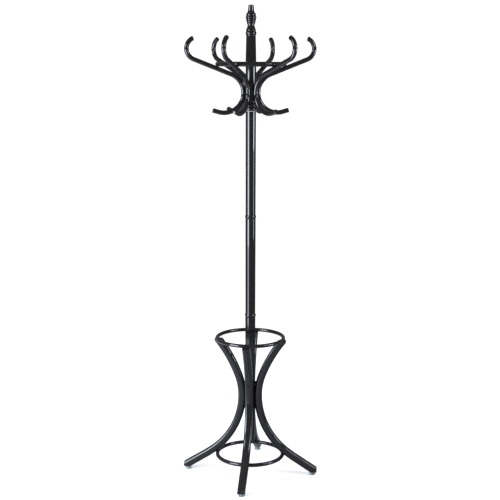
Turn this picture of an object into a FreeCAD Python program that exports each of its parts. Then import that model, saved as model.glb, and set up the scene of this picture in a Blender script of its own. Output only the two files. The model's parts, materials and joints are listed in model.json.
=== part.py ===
"""Standing coat rack: a turned pole in three screwed sections, a revolving head with six bent
hooks, four bent legs, three hoops and four screw-in glides.

Millimetres, +Z up, origin on the floor under the pole's axis. The legs lie along +X, +Y, -X and
-Y. Every bent or turned piece is drawn in the XZ plane, where x is the reach from the pole's
axis, and is then turned about Z to its own place.
"""
import FreeCAD
import Part
import math
import os

# ---- pole: three turned sections, each ending below in a bead ----
pole_bottom_z = 132.0
lower_joint_z = 645.0
upper_joint_z = 1038.5
pole_top_z = 1452.0
pole_radius = 20.0
section_taper = 0.5             # how much thinner a section is just above its bead
bead_swell = 1.8                # how far a bead stands out from the pole
bead_height = 12.0
edge_break = 1.0
pole_stud_radius = 5.0
pole_stud_reach = 32.0          # into each section
pole_insert_radius = 8.0
pole_insert_length = 22.0

# ---- swivel between the pole and the head ----
running_play = 0.05             # radial play of a part that turns in another
washer_thickness = 2.0
washer_radius = 17.0
pin_radius = 5.0
pin_in_pole = 45.0
pin_in_head = 38.0
bush_radius = 8.0
bush_length = 42.0
bush_flange_radius = 13.0
bush_flange_thickness = 2.0

# ---- head post and finial ----
head_bottom_z = pole_top_z + washer_thickness
finial_joint_z = 1752.8
overall_height = 1850.0
post_radius = 20.3
post_top_radius = 18.3
finial_stud_radius = 4.0
finial_stud_reach = 24.0

# ---- hooks: six bent rods ----
hook_count = 6
hook_first_angle = 17.0
hook_set = (0.0, -0.6, -2.6, 0.0, -3.1, 0.8)    # how far each is set off its even place, degrees
hook_rod_radius = 9.0
hook_waist_z = 1522.0
hook_waist_reach = 28.4         # rod centre to pole axis where the rod meets the post
hook_waist_bend = 75.0
hook_slope = 21.4               # rise of the straight run, degrees from level
hook_run = 153.0
hook_cup_bend = 42.5
hook_cup_turn = 135.6
hook_tail_turn = 106.0
hook_tail_length = 23.8
hook_screw_spacing = 36.0
hook_screw_radius = 2.0
hook_screw_head = 4.0
hook_screw_face = 38.0          # reach of the screw head's outer face
hook_screw_tip = 9.0

# ---- hoops ----
hoop_seat = 0.8                 # how deep a hoop is let into what carries it
hook_hoop_radius = 126.5
hook_hoop_rod = 9.0
umbrella_hoop_radius = 131.4
umbrella_hoop_rod = 7.3
lower_hoop_radius = 131.5
lower_hoop_rod = 7.6
lower_hoop_z = 77.0
hoop_screw_radius = 1.75
hoop_screw_head = 3.5
hoop_screw_head_height = 2.0

# ---- legs: four bent bars ----
leg_names = ("right", "back", "left", "front")
leg_thickness = 31.0
leg_width = 31.0
leg_corner = 8.0
leg_waist_z = 324.0
leg_waist_outside = 48.0        # reach of the leg's outer face at its waist
leg_upper_bends = ((221.0, 21.0), (533.0, 20.5))
leg_lower_bends = ((276.0, 54.0), (640.0, 4.0))
leg_top_z = 552.7
leg_top_reach = 142.5
leg_foot_reach = 270.5
leg_foot_z = 13.0
leg_seat_reach = 18.9           # flats on the pole and on the leg
leg_seat_height = 90.0
leg_bolt_heights = (375.0, 274.0)
leg_bolt_radius = 3.0
leg_bolt_head = 5.0
leg_bolt_head_length = 4.0
leg_bolt_face = 51.4            # reach of the bolt head's outer face
leg_bolt_tip = 9.0
leg_insert_radius = 4.5
leg_insert_flange = 6.5
leg_insert_tip = 8.0
leg_insert_flange_reach = (19.0, 24.0)

# ---- glides ----
glide_reach = 253.0
glide_pad_radius = 11.5
glide_pad_height = 6.0
glide_grip_radius = 9.0
glide_grip_sides = 12
glide_grip_top = 10.3
glide_neck_radius = 6.0
glide_stem_radius = 4.0
glide_stem_top = 34.0
glide_socket_floor = 2.5
glide_flange_radius = 8.5
glide_flange_thickness = 1.5
glide_insert_radius = 5.5
glide_insert_top = 28.0

AXIS = FreeCAD.Vector(0, 0, 1)
ORIGIN = FreeCAD.Vector(0, 0, 0)
reach_limit = 400.0             # larger than anything that a cutting block has to cover


# ---- small helpers ----
def at(reach, height, side=0.0):
    """A point in the drawing plane: x is the reach from the pole's axis."""
    return FreeCAD.Vector(reach, side, height)


def direction(angle):
    """A unit vector in the drawing plane, angle in degrees up from level."""
    turn = math.radians(angle)
    return FreeCAD.Vector(math.cos(turn), 0, math.sin(turn))


def rod(start, heading, radius, length):
    """A plain round bar from a point along a direction."""
    return Part.makeCylinder(radius, length, start, heading)


def block(low, high):
    """An axis-aligned block between two corners."""
    size = high - low
    return Part.makeBox(size.x, size.y, size.z, low)


def turned(shape, angle):
    """A copy turned about the pole's axis."""
    copy = shape.copy()
    copy.rotate(ORIGIN, AXIS, angle)
    return copy


def around(shape, count):
    """Copies spaced evenly about the pole's axis."""
    return [turned(shape, 360.0 * index / count) for index in range(count)]


def at_hooks(shape):
    """A copy at each hook: even places, each with its own small set."""
    even = [hook_first_angle + 360.0 * index / hook_count for index in range(hook_count)]
    return [turned(shape, angle + own) for angle, own in zip(even, hook_set)]


def cut_all(shape, tools):
    """The shape less every tool."""
    return shape.cut(list(tools))


def lathe(start, steps):
    """A solid of revolution. Steps are (reach, z) for a line, or (reach, z, reach, z) for an arc
    through the first point to the second."""
    here = at(*start)
    edges = [Part.LineSegment(at(0, start[1]), here).toShape()]
    for step in steps:
        goal = at(*step[-2:])
        if len(step) == 4:
            edges.append(Part.Arc(here, at(*step[:2]), goal).toShape())
        else:
            edges.append(Part.LineSegment(here, goal).toShape())
        here = goal
    edges.append(Part.LineSegment(here, at(0, here.z)).toShape())
    edges.append(Part.LineSegment(at(0, here.z), at(0, start[1])).toShape())
    face = Part.Face(Part.Wire(edges))
    return face.revolve(ORIGIN, AXIS, 360)


def bend_path(start, heading, moves):
    """Tangent lines and arcs in the drawing plane. A move is a length, or (radius, turn) with a
    positive turn to the left. Returns the wire's edges, its end point and its end heading."""
    here = start
    edges = []
    for move in moves:
        if isinstance(move, tuple):
            radius, turn = move
            side = 1 if turn > 0 else -1
            centre = here + direction(heading + 90 * side) * radius
            middle = centre - direction(heading + turn / 2 + 90 * side) * radius
            goal = centre - direction(heading + turn + 90 * side) * radius
            edges.append(Part.Arc(here, middle, goal).toShape())
            heading = heading + turn
        else:
            goal = here + direction(heading) * move
            edges.append(Part.LineSegment(here, goal).toShape())
        here = goal
    return edges, here, heading


def swept(profile, start, heading, moves):
    """A closed profile, drawn at the start point, carried along a bend path."""
    edges = bend_path(start, heading, moves)[0]
    return Part.Wire(edges).makePipeShell([profile], True, False)


def rounded_bar_profile(centre, thickness, width, corner):
    """A level rounded rectangle, for a bar that starts out upright."""
    edges = []
    half_x = thickness / 2
    half_y = width / 2
    signs = ((1, 1), (-1, 1), (-1, -1), (1, -1))
    ends = []
    for index, (sign_x, sign_y) in enumerate(signs):
        middle = centre + FreeCAD.Vector(sign_x * (half_x - corner), sign_y * (half_y - corner), 0)
        arc = []
        for angle in (90 * index, 90 * index + 45, 90 * index + 90):
            turn = math.radians(angle)
            arc.append(middle + FreeCAD.Vector(math.cos(turn), math.sin(turn), 0) * corner)
        ends.append((arc[0], arc[2]))
        edges.append(Part.Arc(*arc).toShape())
    for index in range(4):
        side_start = ends[index][1]
        side_end = ends[(index + 1) % 4][0]
        edges.append(Part.LineSegment(side_start, side_end).toShape())
    return Part.Wire(Part.__sortEdges__(edges))


# ---- pole ----
def pole_studs():
    """The two threaded studs that join the sections."""
    studs = []
    for joint_z in (lower_joint_z, upper_joint_z):
        studs.append(rod(at(0, joint_z - pole_stud_reach), AXIS, pole_stud_radius, 2 * pole_stud_reach))
    return studs


def pole_inserts():
    """Threaded sleeves, one each side of each joint."""
    sleeves = []
    for joint_z in (lower_joint_z, upper_joint_z):
        for low in (joint_z - pole_insert_length, joint_z):
            sleeve = rod(at(0, low), AXIS, pole_insert_radius, pole_insert_length)
            bore = rod(at(0, low), AXIS, pole_stud_radius, pole_insert_length)
            sleeves.append(sleeve.cut(bore))
    return sleeves


def pole_section(bottom, top, beaded):
    """One turned length of pole; the bead stands just above its lower end."""
    if not beaded:
        start = (pole_radius - 2 * edge_break, bottom)
        steps = [(pole_radius, bottom + 2 * edge_break)]
    else:
        waist = pole_radius - section_taper
        bead_low = bottom + edge_break
        start = (waist - edge_break, bottom)
        steps = [
            (waist, bead_low),
            (pole_radius + bead_swell, bead_low + bead_height / 2, waist, bead_low + bead_height),
        ]
    steps.append((pole_radius, top - edge_break))
    steps.append((pole_radius - edge_break, top))
    return lathe(start, steps)


def joint_bore(joint_z, upward):
    """The hole for a sleeve and its stud, on one side of a joint."""
    sign = 1 if upward else -1
    heading = AXIS * sign
    sleeve = rod(at(0, joint_z), heading, pole_insert_radius, pole_insert_length)
    clearance = rod(at(0, joint_z), heading, pole_stud_radius + 0.3, pole_stud_reach + 2)
    return sleeve.fuse(clearance)


# ---- swivel ----
def pivot_pin():
    """The steel pin that the head turns on."""
    low = pole_top_z - pin_in_pole
    length = pin_in_pole + washer_thickness + pin_in_head - edge_break
    shank = rod(at(0, low), AXIS, pin_radius, length)
    tip = Part.makeCone(pin_radius, pin_radius - edge_break, edge_break, at(0, low + length), AXIS)
    return shank.fuse(tip).removeSplitter()


def swivel_washer():
    """The slip washer between pole and head."""
    disc = rod(at(0, pole_top_z), AXIS, washer_radius, washer_thickness)
    return disc.cut(rod(at(0, pole_top_z), AXIS, pin_radius + 0.3, washer_thickness))


def bush_blank():
    """The flanged bush, before it is bored."""
    sleeve = rod(at(0, head_bottom_z), AXIS, bush_radius, bush_length)
    flange = rod(at(0, head_bottom_z), AXIS, bush_flange_radius, bush_flange_thickness)
    return sleeve.fuse(flange)


def pivot_bush():
    """The flanged bush that the head turns on."""
    return bush_blank().cut(rod(at(0, head_bottom_z), AXIS, pin_radius + running_play, bush_length))


# ---- head post and finial ----
def head_post_blank():
    """The turned post: two beads at the foot, a long shaft, one bead at the top."""
    return lathe(
        (18.6, head_bottom_z),
        [
            (19.0, 1456.0),
            (21.2, 1462.5, 18.2, 1467.0),
            (17.6, 1468.6),
            (22.4, 1476.2, 17.6, 1483.6),
            (17.2, 1487.4, 18.4, 1491.0),
            (19.6, 1493.0, post_radius, 1497.0),
            (post_radius, 1645.0),
            (post_top_radius, 1736.5),
            (18.8, 1738.4),
            (20.8, 1745.0, 18.6, 1751.2),
            (17.6, finial_joint_z),
        ],
    )


def finial_blank():
    """The turned finial: bell, neck, four ribs, shoulder and a flat-topped plug."""
    steps = [
        (19.2, 1756.6, 17.8, 1759.8),
        (15.2, 1766.0, 13.1, 1775.2),
        (13.4, 1778.0),
    ]
    ribs = ((15.9, 1781.2), (17.6, 1788.2), (19.2, 1795.4), (20.7, 1803.0))
    rib_half = 3.4
    groove = 1.3
    for reach, middle in ribs:
        steps.append((reach - groove, middle - rib_half))
        steps.append((reach, middle, reach - groove + 0.4, middle + rib_half))
    steps += [
        (17.2, 1808.4),
        (19.2, 1813.6, 16.0, 1819.0),
        (13.4, 1823.4, 12.0, 1829.6),
        (9.9, overall_height - edge_break),
        (9.9 - edge_break, overall_height),
    ]
    return lathe((17.6, finial_joint_z), steps)


def finial_stud():
    """The stud between the head post and the finial."""
    return rod(at(0, finial_joint_z - finial_stud_reach), AXIS, finial_stud_radius, 2 * finial_stud_reach)


# ---- hooks ----
def hook_blank():
    """One bent rod in the drawing plane, swept both ways from its waist."""
    waist = at(hook_waist_reach, hook_waist_z)
    profile = Part.Wire(Part.makeCircle(hook_rod_radius, waist, AXIS))
    upper_moves = [
        (hook_waist_bend, hook_slope - 90),
        hook_run,
        (hook_cup_bend, hook_cup_turn),
    ]
    lower_moves = [
        (hook_waist_bend, hook_tail_turn),
        hook_tail_length,
    ]
    upper = swept(profile, waist, 90, upper_moves)
    lower = swept(profile, waist, -90, lower_moves)
    return upper.fuse(lower).removeSplitter()


def hook_screw_pair():
    """The two screws that hold one hook to the post."""
    screws = []
    head_length = 2.5
    for offset in (-hook_screw_spacing / 2, hook_screw_spacing / 2):
        height = hook_waist_z + offset
        neck = hook_screw_face - head_length
        shank = rod(at(hook_screw_tip, height), direction(0), hook_screw_radius, neck - hook_screw_tip)
        head = rod(at(neck, height), direction(0), hook_screw_head, head_length)
        screws.append(shank.fuse(head).removeSplitter())
    return screws


def hook_screw_pockets():
    """The open counterbores over the two screw heads."""
    pockets = []
    for offset in (-hook_screw_spacing / 2, hook_screw_spacing / 2):
        start = at(hook_screw_face, hook_waist_z + offset)
        pockets.append(rod(start, direction(0), hook_screw_head, 20))
    return pockets


# ---- hoops ----
def hoop(radius, rod_radius, height):
    """A round hoop about the pole's axis."""
    return Part.makeTorus(radius, rod_radius, at(0, height), AXIS)


def hook_hoop_z():
    """The height at which the hoop sits its seat's depth into the straight runs."""
    slope = math.radians(hook_slope)
    bend_centre = hook_waist_reach + hook_waist_bend
    run_start_reach = bend_centre - hook_waist_bend * math.sin(slope)
    run_start_z = hook_waist_z + hook_waist_bend * math.cos(slope)
    run_z = run_start_z + (hook_hoop_radius - run_start_reach) * math.tan(slope)
    return run_z + (hook_rod_radius + hook_hoop_rod - hoop_seat) / math.cos(slope)


def hoop_screw(hoop_radius, hoop_z, heading, head_distance, tip_distance):
    """A screw on a line through the hoop's centre. It points along heading: its head lies
    head_distance behind the hoop's centre and its tip tip_distance beyond it."""
    centre = at(hoop_radius, hoop_z)
    along = direction(heading)
    head_start = centre - along * head_distance
    head = rod(head_start, along, hoop_screw_head, hoop_screw_head_height)
    shank_start = head_start + along * hoop_screw_head_height
    shank_length = head_distance - hoop_screw_head_height + tip_distance
    return head.fuse(rod(shank_start, along, hoop_screw_radius, shank_length)).removeSplitter()


def hoop_screw_pocket(hoop_radius, hoop_z, heading, head_distance):
    """The open counterbore behind such a screw's head."""
    start = at(hoop_radius, hoop_z) - direction(heading) * head_distance
    return rod(start, direction(heading) * -1, hoop_screw_head, 12)


# ---- legs ----
def leg_blank():
    """One bent bar in the drawing plane, trimmed level and upright at the top and at the foot."""
    waist = at(leg_waist_outside - leg_thickness / 2, leg_waist_z)
    profile = rounded_bar_profile(waist, leg_thickness, leg_width, leg_corner)
    half = leg_thickness / 2
    upper_moves = [(radius + half, -turn) for radius, turn in leg_upper_bends]
    lower_moves = [(radius + half, turn) for radius, turn in leg_lower_bends]
    upper = swept(profile, waist, 90, upper_moves + [30.0])
    lower = swept(profile, waist, -90, lower_moves + [130.0])
    bar = upper.fuse(lower).removeSplitter()
    above = block(at(0, leg_top_z, -leg_width), at(reach_limit, leg_top_z + 200, leg_width))
    outside = block(at(leg_top_reach, 400, -leg_width), at(reach_limit, leg_top_z + 200, leg_width))
    beyond = block(at(leg_foot_reach, -200, -leg_width), at(reach_limit, 200, leg_width))
    below = block(at(0, -200, -leg_width), at(reach_limit, leg_foot_z, leg_width))
    inside = block(at(-50, 0, -leg_width), at(leg_seat_reach, 600, leg_width))
    return cut_all(bar, [above, outside, beyond, below, inside])


def leg_bolt(height):
    """A bolt through the leg into its insert."""
    neck = leg_bolt_face - leg_bolt_head_length
    shank = rod(at(leg_bolt_tip, height), direction(0), leg_bolt_radius, neck - leg_bolt_tip)
    head = rod(at(neck, height), direction(0), leg_bolt_head, leg_bolt_head_length)
    socket = rod(at(leg_bolt_face - 2.4, height), direction(0), 2.3, 3)
    return shank.fuse(head).removeSplitter().cut(socket)


def leg_insert_blank(height):
    """A flanged insert, before it is bored; its flange is the leg's seat at the bolt."""
    flange_in, flange_out = leg_insert_flange_reach
    body = rod(at(leg_insert_tip, height), direction(0), leg_insert_radius, flange_in - leg_insert_tip)
    flange = rod(at(flange_in, height), direction(0), leg_insert_flange, flange_out - flange_in)
    return body.fuse(flange).removeSplitter()


def leg_bolt_hole(height):
    """The hole through the leg for a bolt, its head and the insert's flange."""
    neck = leg_bolt_face - leg_bolt_head_length
    shank = rod(at(0, height), direction(0), leg_bolt_radius, neck)
    head = rod(at(neck, height), direction(0), leg_bolt_head, 30)
    flange = rod(at(0, height), direction(0), leg_insert_flange, leg_insert_flange_reach[1])
    return shank.fuse([head, flange])


# ---- glides ----
def glide_insert_blank():
    """The flanged sleeve in a leg's end, before it is bored."""
    sleeve = rod(at(glide_reach, leg_foot_z), AXIS, glide_insert_radius, glide_insert_top - leg_foot_z)
    flange_z = leg_foot_z - glide_flange_thickness
    flange = rod(at(glide_reach, flange_z), AXIS, glide_flange_radius, glide_flange_thickness)
    return sleeve.fuse(flange).removeSplitter()


def glide_insert():
    """The flanged sleeve that the glide's stem screws through."""
    low = leg_foot_z - glide_flange_thickness
    bore = rod(at(glide_reach, low), AXIS, glide_stem_radius + running_play, glide_insert_top - low)
    return glide_insert_blank().cut(bore)


def glide_screw():
    """Stem, neck and many-sided grip in one, with a stub that turns in the pad."""
    points = []
    for side in range(glide_grip_sides + 1):
        turn = 2 * math.pi * side / glide_grip_sides
        reach = glide_reach + glide_grip_radius * math.cos(turn)
        points.append(at(reach, glide_pad_height, glide_grip_radius * math.sin(turn)))
    grip = Part.Face(Part.makePolygon(points)).extrude(AXIS * (glide_grip_top - glide_pad_height))
    neck_top = leg_foot_z - glide_flange_thickness
    neck = rod(at(glide_reach, glide_grip_top), AXIS, glide_neck_radius, neck_top - glide_grip_top)
    stub_z = glide_socket_floor
    stem = rod(at(glide_reach, stub_z), AXIS, glide_stem_radius, glide_stem_top - stub_z)
    return grip.fuse([neck, stem]).removeSplitter()


def glide_pad():
    """The disc that stands on the floor, with a socket for the screw's stub."""
    disc = rod(at(glide_reach, 0), AXIS, glide_pad_radius, glide_pad_height)
    rims = [edge for edge in disc.Edges if edge.Closed]
    disc = disc.makeFillet(1.5, rims)
    socket_radius = glide_stem_radius + running_play
    return disc.cut(rod(at(glide_reach, glide_socket_floor), AXIS, socket_radius, glide_pad_height))


# ---- assembly ----
def build():
    """Every node of the rack: its name and its solids."""
    nodes = {}

    # pole
    studs = pole_studs()
    sleeves = pole_inserts()
    pin = pivot_pin()
    seats = [
        block(at(leg_seat_reach, leg_waist_z - leg_seat_height / 2, -20),
              at(40, leg_waist_z + leg_seat_height / 2, 20)),
    ]
    insert_blanks = [leg_insert_blank(height) for height in leg_bolt_heights]
    lower = pole_section(pole_bottom_z, lower_joint_z, False)
    lower_cuts = [joint_bore(lower_joint_z, False)]
    for shape in seats + insert_blanks:
        lower_cuts += around(shape, 4)
    middle_cuts = [joint_bore(lower_joint_z, True), joint_bore(upper_joint_z, False)]
    upper_cuts = [joint_bore(upper_joint_z, True), pin]
    middle = pole_section(lower_joint_z, upper_joint_z, True)
    upper = pole_section(upper_joint_z, pole_top_z, True)
    nodes["pole_lower"] = [cut_all(lower, lower_cuts)]
    nodes["pole_middle"] = [cut_all(middle, middle_cuts)]
    nodes["pole_upper"] = [cut_all(upper, upper_cuts)]
    nodes["pole_studs"] = studs
    nodes["pole_inserts"] = sleeves
    nodes["pivot_pin"] = [pin]
    nodes["swivel_washer"] = [swivel_washer()]
    nodes["pivot_bush"] = [pivot_bush()]

    # head
    hook = hook_blank()
    hook_screws = hook_screw_pair()
    hoop_z = hook_hoop_z()
    hook_hoop = hoop(hook_hoop_radius, hook_hoop_rod, hoop_z)
    head_distance = 2 * hook_rod_radius + hook_hoop_rod - hoop_seat - hoop_screw_head_height
    screw_heading = hook_slope + 90
    hook_hoop_screw = hoop_screw(hook_hoop_radius, hoop_z, screw_heading, head_distance, 4)
    pocket = hoop_screw_pocket(hook_hoop_radius, hoop_z, screw_heading, head_distance)
    hook_cuts = hook_screws + hook_screw_pockets() + [hook_hoop_screw, pocket, hook_hoop]
    finished_hook = cut_all(hook, hook_cuts)
    for index, shape in enumerate(at_hooks(finished_hook)):
        nodes["hook_" + str(index + 1)] = [shape]
    all_hook_screws = []
    for screw in hook_screws:
        all_hook_screws += at_hooks(screw)
    nodes["hook_screws"] = all_hook_screws
    all_hoop_screws = at_hooks(hook_hoop_screw)
    nodes["hook_ring_screws"] = all_hoop_screws
    nodes["hook_ring"] = [cut_all(hook_hoop, all_hoop_screws)]
    stud = finial_stud()
    post_cuts = [bush_blank(), stud] + at_hooks(hook) + all_hook_screws
    nodes["head_post"] = [cut_all(head_post_blank(), post_cuts)]
    nodes["finial"] = [finial_blank().cut(stud)]
    nodes["finial_stud"] = [stud]

    # legs and their hoops
    leg = leg_blank()
    umbrella_z = leg_top_z + umbrella_hoop_rod - hoop_seat
    umbrella = hoop(umbrella_hoop_radius, umbrella_hoop_rod, umbrella_z)
    lower_hoop = hoop(lower_hoop_radius, lower_hoop_rod, lower_hoop_z)
    leg_top_lean = sum(turn for radius, turn in leg_upper_bends)
    down_the_leg = -90 - leg_top_lean
    umbrella_head = umbrella_hoop_rod - 1
    umbrella_screw = hoop_screw(umbrella_hoop_radius, umbrella_z, down_the_leg, umbrella_head, 32)
    umbrella_pocket = hoop_screw_pocket(umbrella_hoop_radius, umbrella_z, down_the_leg, umbrella_head)
    into_the_leg = 50.0
    lower_head = lower_hoop_rod - 1
    lower_screw = hoop_screw(lower_hoop_radius, lower_hoop_z, into_the_leg, lower_head, 24)
    lower_pocket = hoop_screw_pocket(lower_hoop_radius, lower_hoop_z, into_the_leg, lower_head)
    bolts = [leg_bolt(height) for height in leg_bolt_heights]
    leg_cuts = [leg_bolt_hole(height) for height in leg_bolt_heights]
    leg_cuts += [umbrella, lower_hoop, umbrella_screw, lower_screw, glide_insert_blank()]
    leg_cuts.append(rod(at(glide_reach, leg_foot_z), AXIS, glide_stem_radius + 0.3, 23))
    finished_leg = cut_all(leg, leg_cuts)
    for name, shape in zip(leg_names, around(finished_leg, 4)):
        nodes["leg_" + name] = [shape]
    nodes["leg_bolts"] = [copy for bolt in bolts for copy in around(bolt, 4)]
    inserts = []
    for blank, bolt_height in zip(insert_blanks, leg_bolt_heights):
        bore = rod(at(0, bolt_height), direction(0), leg_bolt_radius, 40)
        inserts += around(blank.cut(bore), 4)
    nodes["leg_inserts"] = inserts
    umbrella_screws = around(umbrella_screw, 4)
    lower_screws = around(lower_screw, 4)
    nodes["umbrella_ring_screws"] = umbrella_screws
    nodes["lower_ring_screws"] = lower_screws
    nodes["umbrella_ring"] = [cut_all(umbrella, umbrella_screws + around(umbrella_pocket, 4))]
    nodes["lower_ring"] = [cut_all(lower_hoop, lower_screws + around(lower_pocket, 4))]

    # glides
    nodes["glide_inserts"] = around(glide_insert(), 4)
    for name, screw, pad in zip(leg_names, around(glide_screw(), 4), around(glide_pad(), 4)):
        nodes["glide_screw_" + name] = [screw]
        nodes["glide_pad_" + name] = [pad]
    return nodes


def write(nodes):
    """One STEP file per node."""
    os.makedirs("parts", exist_ok=True)
    for name, solids in nodes.items():
        bodies = [solid for shape in solids for solid in shape.Solids]
        shape = bodies[0] if len(bodies) == 1 else Part.makeCompound(bodies)
        shape.exportStep("parts/" + name + ".step")
        print(name, len(bodies), "solid(s)", round(shape.Volume / 1000, 2), "cm3", shape.isValid())


write(build())
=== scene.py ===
# %% [markdown]
# # A standing coat rack in black lacquer
# The rack is a turned pole in three screwed lengths. Six bent hooks stand round a head that turns
# on the pole, four bent legs carry it, and three bentwood hoops tie hooks and legs together. This
# lesson builds its surface piece by piece on a fixed frame, which holds every piece's real size and
# place. Shapes are worked out in millimetres, as on a workshop drawing, and go into the mesh in
# metres.

# %% The frame
import json
import math
import bmesh
import bpy
import numpy as np
from mathutils import Matrix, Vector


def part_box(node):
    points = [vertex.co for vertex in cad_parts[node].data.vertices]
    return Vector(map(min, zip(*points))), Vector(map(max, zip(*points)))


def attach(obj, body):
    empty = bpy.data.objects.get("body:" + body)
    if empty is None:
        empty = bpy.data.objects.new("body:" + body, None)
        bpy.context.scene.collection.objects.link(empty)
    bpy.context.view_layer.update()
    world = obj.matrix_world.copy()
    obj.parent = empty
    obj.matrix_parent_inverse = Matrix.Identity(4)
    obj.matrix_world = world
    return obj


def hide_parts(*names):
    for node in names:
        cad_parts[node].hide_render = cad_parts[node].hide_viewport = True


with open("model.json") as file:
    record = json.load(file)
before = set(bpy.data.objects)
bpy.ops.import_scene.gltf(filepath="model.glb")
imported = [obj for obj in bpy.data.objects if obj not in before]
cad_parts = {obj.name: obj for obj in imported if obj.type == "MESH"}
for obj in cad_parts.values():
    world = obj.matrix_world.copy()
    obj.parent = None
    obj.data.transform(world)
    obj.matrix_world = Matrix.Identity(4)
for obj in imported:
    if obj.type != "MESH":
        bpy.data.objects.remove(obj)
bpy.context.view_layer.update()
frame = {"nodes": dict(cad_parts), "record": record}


# %% [markdown]
# ## Where the camera stands
# A rack this tall is seen best from well back, with a long lens, so that its uprights stay upright.
# The camera stands about four metres from the pole at a tall person's eye height and looks slightly
# down at the middle of the rack, a little round from the front leg so that all four legs show.

# %% The camera
camera_round = math.radians(7.3)       # how far round from straight in front of the front leg
camera_distance = 4.0992
camera_height = 1.6469
camera_down = math.radians(10.149)
camera_roll = math.radians(0.137)
camera_lens = 76.6
camera_sensor = 36.0
camera_shift = -0.001

camera = bpy.data.objects.new("camera", bpy.data.cameras.new("camera"))
bpy.context.collection.objects.link(camera)
camera.data.lens = camera_lens
camera.data.sensor_width = camera_sensor
camera.data.shift_x = camera_shift
camera_place = (
    camera_distance * math.sin(camera_round),
    -camera_distance * math.cos(camera_round),
    camera_height,
)
aim = Matrix.Rotation(camera_round, 4, "Z") @ Matrix.Rotation(math.pi / 2 - camera_down, 4, "X")
camera.matrix_world = Matrix.Translation(camera_place) @ aim @ Matrix.Rotation(camera_roll, 4, "Z")
bpy.context.scene.camera = camera
bpy.context.scene.view_settings.view_transform = "Standard"
print("camera at", [round(value, 3) for value in camera_place])


# %% [markdown]
# ## Working with nodes
# Floor, room and finishes are small node trees. A few helpers keep them readable: one fills a
# node's inputs, one adds a node and gives back its outputs, and two stand for the commonest nodes.

# %% Node helpers
def fill(tree, node, *ordered, **named):
    """Gives a node's inputs, by order or by name, each a value or a link from another socket."""
    wanted = [(node.inputs[index], value) for index, value in enumerate(ordered)]
    wanted += [(node.inputs[key.replace("_", " ")], value) for key, value in named.items()]
    for socket, value in wanted:
        if isinstance(value, bpy.types.NodeSocket):
            tree.links.new(value, socket)
        else:
            socket.default_value = value


def add(tree, kind, *ordered, settings=(), **named):
    """Adds a shader node with its inputs and (key, value) settings, and gives back its outputs."""
    node = tree.nodes.new("ShaderNode" + kind)
    for key, value in settings:
        setattr(node, key, value)
    fill(tree, node, *ordered, **named)
    return node.outputs


def maths(tree, operation, *ordered):
    """The result of one sum."""
    return add(tree, "Math", *ordered, settings=[("operation", operation)])[0]


def mixed(tree, share, first, second):
    """A colour that goes from the first to the second as share goes from 0 to 1."""
    return add(tree, "MixRGB", share, first, second)[0]


def bare_tree(owner):
    """The empty node tree of a material or a world."""
    owner.use_nodes = True
    owner.node_tree.nodes.clear()
    return owner.node_tree


def seen_and_mirrored(tree, output, shader, seen, mirrored):
    """Ends a tree with a shader that has one set of inputs to the eye and another in reflections."""
    mirror_ray = add(tree, "LightPath")["Is Glossy Ray"]
    shaders = [add(tree, shader, *values)[0] for values in (seen, mirrored)]
    add(tree, output, add(tree, "MixShader", mirror_ray, *shaders)[0])


# %% Points round an upright axis
def polar(reach, angle, height):
    """Points from their reach and angle about Z and their height."""
    return np.stack(np.broadcast_arrays(reach * np.cos(angle), reach * np.sin(angle), height), axis=-1)


# %% [markdown]
# ## A pale studio
# Gloss black shows almost nothing of its own: what one sees is what it mirrors. So room and floor
# are near white to the eye and much dimmer in reflections, where the floor carries painted light
# and shade: painted light, a light grey, on the left and painted shade, a dark grey, on the right.
# Upright soft boxes stand left and right of the camera, and each
# side draws one clean line down the pole: broad on the left, thin on the right. A round pole
# mirrors a box where it faces half way between the box and the camera, so a box 53 degrees round
# draws its line 26.5 degrees round. The low box of each side is dimmer, which fades its line
# downwards, and one high box on each side lights the upper faces of legs, hoops and hooks.

# %% Floor and room
floor_radius = 2.1
floor_corners = 96
floor_mesh = bpy.data.meshes.new("floor")
floor_rim = polar(floor_radius, 2 * math.pi * np.arange(floor_corners) / floor_corners, 0.0)
floor_mesh.from_pydata(floor_rim.tolist(), [], [tuple(range(floor_corners))])
floor = bpy.data.objects.new("floor", floor_mesh)
bpy.context.collection.objects.link(floor)

floor_white = (0.93, 0.93, 0.93, 1)
# In reflections the floor is painted light and shade: a light grey on the left running across X to a dark
# grey on the right.
floor_left, floor_right = -1.1, 0.3
painted_light_grey, painted_shade_grey = (0.62, 0.65, 0.70, 1), (0.17, 0.18, 0.195, 1)
floor_paint = bpy.data.materials.new("floor_paint")
floor_tree = bare_tree(floor_paint)
floor_side = add(floor_tree, "SeparateXYZ", add(floor_tree, "TexCoord")["Object"])["X"]
painted_light_share = add(floor_tree, "MapRange", floor_side, floor_left, floor_right)[0]
floor_painted_light = mixed(floor_tree, painted_light_share, painted_light_grey, painted_shade_grey)
seen_and_mirrored(floor_tree, "OutputMaterial", "BsdfDiffuse", [floor_white], [floor_painted_light])
floor_mesh.materials.append(floor_paint)

room_seen, room_mirrored = 1.1, 0.17
room = bpy.data.worlds.new("room")
bpy.context.scene.world = room
seen_and_mirrored(bare_tree(room), "OutputWorld", "Background",
                  [(1, 1, 1, 1), room_seen], [(0.92, 0.96, 1, 1), room_mirrored])

# %% Soft boxes
cool_white = (0.82, 0.89, 1.0)
box_distance = 2.4


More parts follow.
